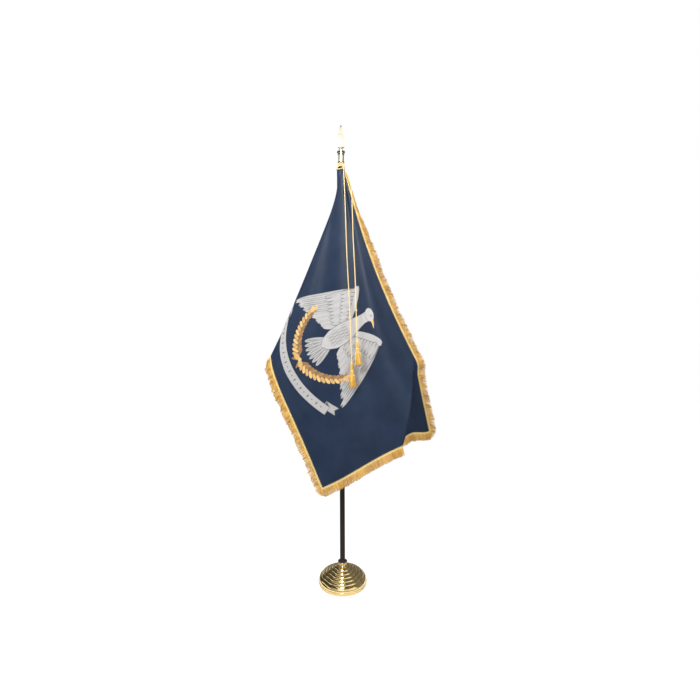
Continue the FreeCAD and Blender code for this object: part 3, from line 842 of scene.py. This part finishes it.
# Rows of wing feathers: count, outer and inner roots, outer and inner tips, width, height.
WING_ROWS = (
    (10, (0.158, 0.232), (0.112, 0.100), (0.362, -0.134), (0.212, -0.072), 0.0225, 0.35),
    (8, (0.112, 0.105), (0.045, 0.050), (0.200, -0.064), (0.092, -0.030), 0.0220, 0.75),
    (9, (0.156, 0.236), (0.050, 0.085), (0.240, 0.050), (0.084, 0.016), 0.0210, 1.10),
    (9, (0.148, 0.244), (0.045, 0.110), (0.200, 0.136), (0.070, 0.060), 0.0195, 1.50),
)


def wing(white, grey, side):
    """One raised wing, its feathers in four rows that lap like slates."""
    for row, (count, root_a, root_b, tip_a, tip_b, width, lift) in enumerate(WING_ROWS):
        for k in range(count):
            f = k / (count - 1)
            root, tip = lerp(root_a, root_b, f) * (side, 1), lerp(tip_a, tip_b, f) * (side, 1)
            tip = lerp(root, tip, 1 + 0.035 * sin(2.2 * k))
            sewn(white, grey, root, tip, width, lift + 0.04 * k, 0.45 + 0.25 * (k % 2), row == 0)
    sewn(white, grey, (0.02 * side, 0.095), (0.160 * side, 0.262), 0.036, 2.0, 0.7)
    wrist = (0.150 * side, 0.240)
    grey.add(disc(wrist, 0.0205), 1.99)
    white.add(disc(wrist, 0.0190), 2.05, 0.7)


def bird(white, grey, gold, dark):
    """A white bird, seen from the front, with both wings raised and its head turned."""
    tips = 7
    for k in range(tips):
        f = (k - (tips - 1) / 2) / ((tips - 1) / 2)
        tip = (0.085 * f, -0.175 + 0.02 * f * f)
        lift = 0.35 + 0.07 * (3 - abs(k - 3))
        sewn(white, grey, (0.018 * f, -0.03), tip, 0.026, lift, 0.4 + 0.1 * (k % 2), True)
    for side in (-1, 1):
        wing(white, grey, side)
    body = [(0.0, -0.085), (0.034, -0.06), (0.054, -0.01), (0.056, 0.05), (0.046, 0.11), (0.032, 0.16),
            (0.026, 0.205), (0.031, 0.235), (-0.020, 0.262), (-0.022, 0.215), (-0.030, 0.165),
            (-0.046, 0.11), (-0.056, 0.05), (-0.054, -0.01), (-0.034, -0.06)]
    grey.add(np.asarray(body) * (1.05, 1.02), 2.14)
    white.add(body, 2.2, 0.8)
    grey.add(disc((0.006, 0.256), 0.0358, 0.0328), 2.29)
    white.add(disc((0.006, 0.256), 0.034, 0.031), 2.35, 0.85)
    gold.add([(0.034, 0.270), (0.056, 0.262), (0.078, 0.245), (0.054, 0.248), (0.036, 0.246)], 2.5, 0.6)
    dark.add(disc((0.016, 0.264), 0.0042, None, 12), 2.6)
    for row in range(4):
        for k in range(5 - row % 2):
            x = (k - (4 - row % 2) / 2) * 0.017
            y = 0.075 - 0.03 * row
            high = 2.35 + 0.05 * (3 - row)
            grey.add(feather((x, y + 0.016), (x, y - 0.016), 0.014, 0.0014), high - 0.06)
            white.add(feather((x, y + 0.016), (x, y - 0.016), 0.014), high, 0.6)


def on_arc(middle, radius, degrees, side=1):
    """A point on an arc that hangs below its middle, so many degrees to one side of its lowest point."""
    a = radians(degrees)
    return np.array([middle[0] + side * radius * sin(a), middle[1] - radius * cos(a)])


def half_wreath(gold, bronze):
    """Two branches of leaves that meet under the bird, tied with a bow."""
    middle, radius, stem_half, leaf, knot = (0.0, 0.005), 0.225, 0.0022, 0.0175, (0.0, -0.222)
    for s in (-1, 1):
        outer = [on_arc(middle, radius + stem_half, 6.5 * k, s) for k in range(13)]
        inner = [on_arc(middle, radius - stem_half, 6.5 * k, s) for k in range(13)]
        bronze.add(outer + inner[::-1], 0.5)
        for k in range(12):
            degrees = 6 + 6.3 * k
            at = on_arc(middle, radius, degrees, s)
            outward = on_arc((0, 0), 1, degrees, s)
            forward = on_arc((0, 0), 1, degrees + 90, s)
            size = 0.046 - 0.0012 * k
            for way, sheet, extra in ((1, gold, 0.03), (-1, bronze, 0.0)):
                tip = at + forward * size * 0.8 + outward * size * 0.62 * way
                sheet.add(feather(at, tip, leaf), 0.7 + 0.05 * k + extra, 0.3 + 0.4 * (k % 2))
        gold.add(feather(on_arc(middle, radius, 76, s), on_arc(middle, radius, 88, s), leaf), 1.4, 0.6)
        gold.add(feather(knot, (s * 0.045, -0.238), 0.026), 1.5, 0.35)
        bronze.add(feather(knot, (s * 0.036, -0.262), 0.013), 1.3, 0.5)
    gold.add(disc(knot, 0.010), 1.7, 0.7)


def ribbon(white, grey):
    """A ribbon with folded swallow-tail ends and a plain row of lozenges, without any lettering."""
    middle, radius, half, reach, edging = (0.0, 0.370), 0.672, 0.0235, 30.4, 0.0018
    steps = 29

    def band(half_angle, half_width):
        degrees = np.linspace(-half_angle, half_angle, steps)
        upper, lower = ([on_arc(middle, radius + w, d) for d in degrees] for w in (half_width, -half_width))
        return upper + lower[::-1]

    white.add(band(reach, half), 0.75, 0.5)
    grey.add(band(reach + 0.15, half + edging), 0.68)
    back, end = reach - 2.6, reach + 4.0
    inner, outer = radius - half - 0.018, radius + half - 0.024
    notch = (inner + outer) / 2
    for s in (-1, 1):
        fold = ((reach, radius - half), (reach, radius + half), (back, outer), (back, inner))
        grey.add([on_arc(middle, r, degrees, s) for degrees, r in fold], 0.55)
        for sheet, start, lap, point, rim, lift, tone in ((white, 0.2, 0.0, 1.3, 0.0, 0.42, 0.35),
                                                          (grey, 0.4, 0.3, 1.0, edging, 0.36, 0.5)):
            tail = ((back - start, inner - rim), (back - start, outer + rim), (end + lap, outer + rim),
                    (end - point, notch), (end + lap, inner - rim))
            sheet.add([on_arc(middle, r, degrees, s) for degrees, r in tail], lift, tone)
    for k in range(-10, 11):
        centre = on_arc(middle, radius, 2.7 * k)
        way, side = on_arc((0, 0), 1, 2.7 * k), on_arc((0, 0), 1, 2.7 * k + 90)
        long, wide = way * (0.0115 if k % 2 else 0.0045), side * 0.0045
        grey.add([centre + long, centre + wide, centre - long, centre - wide], 0.82)


def emblem():
    white, grey, gold, bronze, dark = (Patchwork() for _ in range(5))
    bird(white, grey, gold, dark)
    half_wreath(gold, bronze)
    ribbon(white, grey)
    white.build("emblem_white", "applique_white")
    grey.build("emblem_grey", "applique_grey")
    gold.build("emblem_gold", "applique_gold")
    bronze.build("emblem_gold_dark", "applique_bronze")
    dark.build("emblem_eye", "navy_thread")


# ------ cord and tassels
STRAND_TOP = {"left": (0.014, -0.035, 2.356), "right": (0.058, -0.066, 2.236)}
STRAND_FOOT = {"left": (0.052, -0.222, 1.283), "right": (0.081, -0.224, 1.398)}
ROPE = {"sides": 12, "lobes": 3, "pitch": 0.015, "depth": 0.26}
# The cord's leads from the knot to both strands, and its turn over the sleeve's top.
LEADS = (
    ((0.011, -0.026, 2.377), (0.0125, -0.031, 2.368), STRAND_TOP["left"]),
    ((0.015, -0.026, 2.376), (0.022, -0.034, 2.352), (0.034, -0.046, 2.320), (0.047, -0.057, 2.277),
     STRAND_TOP["right"]),
    ((-0.002, 0.0225, 2.3655), (-0.018, 0.0165, 2.3655), (-0.0275, 0.001, 2.3620),
     (-0.0225, -0.0155, 2.3575), (-0.009, -0.0255, 2.3540), (0.004, -0.0268, 2.3560),
     (0.0095, -0.0270, 2.3650), (0.0115, -0.0245, 2.3765)),
)
# Height below the strand's foot and radius, down the tassel's head and its neck.
HEAD_PROFILE = ((-0.016, 0.0046), (-0.021, 0.0072), (-0.029, 0.0090), (-0.040, 0.0092), (-0.047, 0.0078),
                (-0.051, 0.0074), (-0.057, 0.0086), (-0.066, 0.0108), (-0.073, 0.0118))
NECK_PROFILE = ((0.0, 0.0034), (-0.004, 0.0052), (-0.010, 0.0066), (-0.015, 0.0052), (-0.018, 0.0044))
BAND_R = 12 * MM
# The skirt's rings of twisted threads: count, radius at the top and at the foot.
SKIRT_RINGS = ((46, 0.0112, 0.0185), (34, 0.0080, 0.0135), (20, 0.0045, 0.0075))


def smooth_path(keys, step=1.5 * MM):
    """A Catmull-Rom curve through key points, sampled about every step."""
    keys = np.asarray(keys, float)
    padded = np.concatenate([[2 * keys[0] - keys[1]], keys, [2 * keys[-1] - keys[-2]]])
    out = []
    for i in range(len(keys) - 1):
        count = max(2, int(np.linalg.norm(keys[i + 1] - keys[i]) / step))
        f = np.arange(count) / count
        out.append(Sheet.weights(f) @ padded[i:i + 4])
    out.append(keys[-1:])
    return np.concatenate(out)


def knot_path(centre, size, turn):
    """The run of a cord through a small tight knot."""
    t = np.linspace(0.25, tau - 0.05, 90)
    x = np.sin(t) + 2 * np.sin(2 * t)
    z = np.cos(t) - 2 * np.cos(2 * t)
    y = -np.sin(3 * t) * 1.1
    xr = x * cos(turn) - z * sin(turn)
    zr = x * sin(turn) + z * cos(turn)
    return np.stack([xr, y, zr], 1) * size + np.asarray(centre)


def cord_at_top():
    """The cord's turns round the pole, its knot, and the leads away from the knot."""
    rope = Bundle()
    turns, pitch, foot = 4.3, 0.0056, 2.3690
    t = np.linspace(0, turns * tau, 420)
    r = POLE_R + CORD_R + 0.0003 + 0.0003 * np.sin(t * 0.37)
    rope.tube(np.stack([r * np.sin(t + 0.6), -r * np.cos(t + 0.6), foot + pitch * t / tau], 1),
              CORD_R, **ROPE)
    rope.tube(knot_path((0.0115, -0.0245, 2.3765), 0.00235, 0.4), 0.0026, tone=0.6, **ROPE)
    rope.tube(knot_path((0.0125, -0.0255, 2.3745), 0.00200, 2.2), 0.0024, tone=0.4, **ROPE)
    for keys in LEADS:
        rope.tube(smooth_path(keys), CORD_R, **ROPE)
    rope.build("cord_wrap_and_knot", "gold_cord", "cord_loop")


def strand(side):
    """A hanging strand, hardly bowed; the right one has a small knot near its foot."""
    body = "cord_" + side
    top, foot = np.array(STRAND_TOP[side]), np.array(STRAND_FOOT[side])
    f = np.linspace(0, 1, 700)
    bow = np.sin(pi * f)
    points = top + (foot - top) * f[:, None]
    points[:, 0] += 0.0016 * np.sin(f * 9 + (0.7 if side == "left" else 2.1)) * bow
    points[:, 1] += 0.0080 * bow
    if side == "right":
        knot = Bundle()
        knot.tube(knot_path(points[int(0.82 * 699)], 0.00165, 0.8), 0.0022, tone=0.6, **ROPE)
        knot.build("cord_right_knot", "gold_cord", "strand_knot", body)
    rope = Bundle()
    rope.tube(points, CORD_R, **ROPE)
    rope.build(body + "_rope", "gold_cord", "strand_" + side, body)


def hang_from(side, bundle, piece, material, node):
    """Builds a part of a tassel, made below the origin, at the foot of a strand and in line with it."""
    top, foot = Vector(STRAND_TOP[side]), Vector(STRAND_FOOT[side])
    way = (foot - top).normalized()
    turn = np.array(Vector(DOWN).rotation_difference(way).to_matrix())
    bundle.verts = [v @ turn.T + np.array(foot + way * 0.0004) for v in bundle.verts]
    body = "tassel_" + side
    bundle.build(body + "_" + piece, material, "tassel_" + node + "_" + side, body)


def profile(z, keys):
    heights, radii = np.array(keys[::-1]).T
    return np.interp(z, heights, radii)


def round_z(r, a, z):
    """Points at radius r, angle a and height z about the Z axis."""
    return np.stack(np.broadcast_arrays(r * np.cos(a), r * np.sin(a), z), 1)


def tassel_wraps(side):
    """Cord wound round the tassel's neck, and three tight turns round its head."""
    wraps = Bundle()
    z = np.linspace(0.0005, -0.018, 260)
    turns = np.linspace(0, 11 * tau, 260)
    wraps.tube(round_z(profile(z, NECK_PROFILE) - 0.0007, turns, z), 0.00105, 6, 0.55)
    wraps.tube([(0, 0, 0.001), (0, 0, -0.018)], 0.0036, 12, 0.3)
    for height in (-0.0475, -0.0495, -0.0515):
        wraps.tube(round_z(0.0086, np.linspace(0, tau, 30), height), 0.0011, 6, 0.7)
    hang_from(side, wraps, "wraps", "gold_cord", "cap")


def tassel_head(side, rng):
    """Upright threads round a solid core."""
    head = Bundle()
    z = np.linspace(-0.016, -0.074, 22)
    count = 40
    for k in range(count):
        threads = round_z(profile(z, HEAD_PROFILE) - 0.0006, tau * k / count, z)
        head.tube(threads, 0.00095, 5, rng.uniform(0.2, 0.8))
    head.tube(round_z(0, 0, z), profile(z, HEAD_PROFILE) - 0.0008, 20, 0.2)
    hang_from(side, head, "head", "tassel_gold", "head")


def tassel_band(side, rng):
    """A row of small loops between two cords."""
    band = Bundle()
    loops = 20
    t = np.linspace(0, tau, 15)
    for k in range(loops):
        a = tau * k / loops
        ring = round_z(BAND_R + 0.0028 * np.cos(t), a, -0.0760 + 0.0028 * np.sin(t))
        band.tube(ring, 0.0010, 6, rng.uniform(0.3, 0.9))
    for height in (-0.0728, -0.0792):
        band.tube(round_z(BAND_R, np.linspace(0, tau, 40), height), 0.0011, 6)
    hang_from(side, band, "band", "gold_cord", "band")


def tassel_skirt(side, rng):
    """Rings of twisted threads that spread downwards."""
    skirt = Bundle()
    f = np.linspace(0, 1, 22)
    for ring, (count, top_r, foot_r) in enumerate(SKIRT_RINGS):
        for k in range(count):
            a = tau * (k + 0.5 * ring) / count + rng.normal(0, 0.03)
            twist = rng.normal(0, 0.10)
            reach = foot_r * rng.uniform(0.86, 1.04)
            length = 0.0585 + rng.normal(0, 0.0022) - 0.001 * ring
            r = top_r + (reach - top_r) * f ** 0.8
            points = round_z(r, a + twist * f, -0.0765 - length * f)
            skirt.tube(points, 0.00135, 7, rng.uniform(0.05, 0.95), lobes=2, pitch=0.0055, depth=0.4,
                       start=rng.uniform(0, 6))
    hang_from(side, skirt, "skirt", "tassel_gold", "skirt")


def tassel(side, seed):
    rng = np.random.default_rng(seed)
    tassel_wraps(side)
    tassel_head(side, rng)
    tassel_band(side, rng)
    tassel_skirt(side, rng)


# ------ CAD nodes that are shown
def dress_cad():
    slots = {part["node"]: part["material_slot"] for part in frame["record"]["subparts"]}
    for name, obj in frame["nodes"].items():
        obj.data.materials.clear()
        obj.data.materials.append(MATS[slots[name]])


# ------ stage
FLOOR_HALF = 30.0
FLOOR_GLOW = 0.82              # seen by the camera, on top of the floor's own grey
ROOM_LIGHT = 0.62
# Name, place, what it points at, size, watts, whether it shows only as a shine.
LIGHTS = (
    ("key", (-1.6, -1.7, 3.2), (0, 0, 1.8), (1.2, 1.2), 78, False),
    ("top", (1.5, -1.9, 3.2), (0.18, 0, 1.95), (0.9, 0.9), 28, False),
    ("gleam", (-0.1, -1.3, 3.0), (0.05, 0, 2.0), (0.4, 0.8), 48, True),
    ("fill", (2.6, -2.6, 2.0), (0, 0, 1.2), (1.5, 2.0), 8, False),
    ("rim", (0.6, 2.8, 3.2), (0, 0, 1.5), (1.6, 1.2), 22, False),
)
CAMERA_PLACE = (0, -2.5, 1.487)
CAMERA_ROLL = radians(0.22)
CAMERA_LENS = 22.4743          # in mm
CAMERA_SHIFT = (0.01193, -0.04)     # in widths of the picture


def card(sky, *limits):
    """1 where each value lies between its low and high, falling smoothly to 0 over soft beyond them."""
    total = 1.0
    for value, low, high, soft in limits:
        for start, end in ((low - soft, low), (high + soft, high)):
            part = sky.node("MapRange", {0: value, 1: start, 2: end}, interpolation_type="SMOOTHSTEP")
            total = sky.mul(total, part.outputs[0])
    return total


def room_cards(sky, way):
    """What the polished metal mirrors: a dark room with a low window, a strip light and two cards."""
    x, y, z = sky.split(way)
    patches = sky.noise(sky.scaled(way, (5.0, 5.0, 7.0)), 1.0, 2.0)
    walls = sky.mul(sky.mul_add(x, 0.22, 0.27), patches)
    window = card(sky, (z, 0.14, 0.60, 0.10), (y, -1.0, -0.45, 0.2))
    window = sky.mul(window, sky.mul_add(patches, 1.2, 0.25))
    window = sky.mul(window, sky.mul_add(x, 0.45, 0.85))
    strip = card(sky, (x, -0.30, 0.07, 0.04), (z, 0.30, 1.0, 0.05), (y, -1.0, 0.42, 0.10))
    rear = card(sky, (x, -0.40, -0.17, 0.04), (y, 0.60, 1.0, 0.1), (z, 0.26, 0.44, 0.05))
    side = card(sky, (x, -0.93, -0.84, 0.02), (z, 0.2, 0.5, 0.05))
    total = sky.math("ADD", walls, window)
    for lit, strength in ((strip, 0.85), (rear, 0.7), (side, 0.9)):
        total = sky.mul_add(lit, strength, total)
    return total


def studio_world(scene):
    """A white backdrop; for the light itself, bright above and dimmer low down and to the right."""
    world = bpy.data.worlds.new("studio")
    scene.world = world
    world.cycles.sampling_method = "NONE"     # so that mirrored rays see only the cards
    world.use_nodes = True
    world.node_tree.nodes.clear()
    sky = Nodes(world.node_tree)
    way = sky.node("TexCoord").outputs["Generated"]
    x, _, z = sky.split(way)
    height = sky.mul_add(sky.mul_add(x, -0.22, z), 0.5, 0.5)
    patches = sky.noise(sky.scaled(way, (2.4, 2.4, 1.6)), 1.0, 1.0)
    broken = sky.mul_add(patches, 0.5, sky.math("SUBTRACT", height, 0.25))
    room = sky.ramp(broken, (0.36, (0.10, 0.10, 0.10)), (0.50, (0.42, 0.42, 0.43)),
                    (0.72, (1.25, 1.25, 1.25)))
    rays = sky.node("LightPath").outputs
    shown = sky.node("Background", {"Color": room, "Strength": ROOM_LIGHT})
    for ray, colour, strength in (("Is Glossy Ray", (1.0, 0.99, 0.97, 1.0), room_cards(sky, way)),
                                  ("Is Camera Ray", (1.0, 1.0, 1.0, 1.0), 1.0)):
        other = sky.node("Background", {"Color": colour, "Strength": strength})
        shown = sky.node("MixShader", {0: rays[ray], 1: shown.outputs[0], 2: other.outputs[0]})
    sky.node("OutputWorld", {"Surface": shown.outputs[0]})


def stage_floor(scene):
    """A pale seamless floor that turns dark away from the stand in the metal's reflections."""
    look = Look("floor")
    where = look.place()
    rays = look.node("LightPath").outputs
    pale = look.ramp(look.noise(where, 3.0), (0.3, (0.90, 0.90, 0.90)), (0.7, (0.93, 0.93, 0.93)))
    away = look.node("VectorMath", {0: where}, operation="LENGTH").outputs["Value"]
    dim = look.ramp(away, (0.32, (0.95, 0.94, 0.92)), (0.70, (0.10, 0.095, 0.085)))
    tint = look.mix(rays["Is Glossy Ray"], pale, dim)
    tint = look.mix(rays["Is Camera Ray"], tint, (0.24, 0.24, 0.24, 1.0))
    material = look.give({
        "Base Color": tint, "Roughness": 0.9, "Specular IOR Level": 0.1,
        "Emission Color": (1.0, 1.0, 1.0, 1.0),
        "Emission Strength": look.mul(rays["Is Camera Ray"], FLOOR_GLOW)})
    corners = [(x * FLOOR_HALF, y * FLOOR_HALF, 0) for x, y in ((-1, -1), (1, -1), (1, 1), (-1, 1))]
    mesh = bpy.data.meshes.new("floor")
    mesh.from_pydata(corners, [], [(0, 1, 2, 3)])
    mesh.materials.append(material)
    floor = bpy.data.objects.new("floor", mesh)
    scene.collection.objects.link(floor)


def area_light(scene, name, place, target, size, power, gleam):
    """A soft light; a gleam shows only as a shine, and the others only as plain light."""
    light = bpy.data.lights.new(name, "AREA")
    light.shape = "RECTANGLE"
    light.size, light.size_y = size
    light.energy = power
    lamp = bpy.data.objects.new(name, light)
    lamp.location = place
    lamp.rotation_euler = (Vector(target) - Vector(place)).to_track_quat("-Z", "Y").to_euler()
    lamp.visible_glossy = gleam
    lamp.visible_diffuse = not gleam
    scene.collection.objects.link(lamp)


def stage():
    scene = bpy.context.scene
    studio_world(scene)
    stage_floor(scene)
    for light in LIGHTS:
        area_light(scene, *light)
    camera = bpy.data.cameras.new("camera")
    camera.lens = CAMERA_LENS
    camera.shift_x, camera.shift_y = CAMERA_SHIFT
    camera.clip_end = 100
    view = bpy.data.objects.new("camera", camera)
    view.location = CAMERA_PLACE
    view.rotation_euler = (pi / 2, CAMERA_ROLL, 0)
    scene.collection.objects.link(view)
    scene.camera = view
    scene.view_settings.view_transform = "Standard"


# ------ build
flag_panel()
fringe("top", 0.030, FLY, 1, lambda e: 0.42 + 2.2 * ease((0.56 - e) / 0.46), 0.0)
fringe("fly", 0.0, HOIST, 2, lambda e: np.full_like(e, 0.35), HOIST)
fringe("bottom", 0.040, FLY, 3, lambda e: np.full_like(e, 0.35))
sleeve()
seam_stitches()
emblem()
cord_at_top()
for n, one in enumerate(("left", "right")):
    strand(one)
    tassel(one, 40 + n)
dress_cad()
stage()
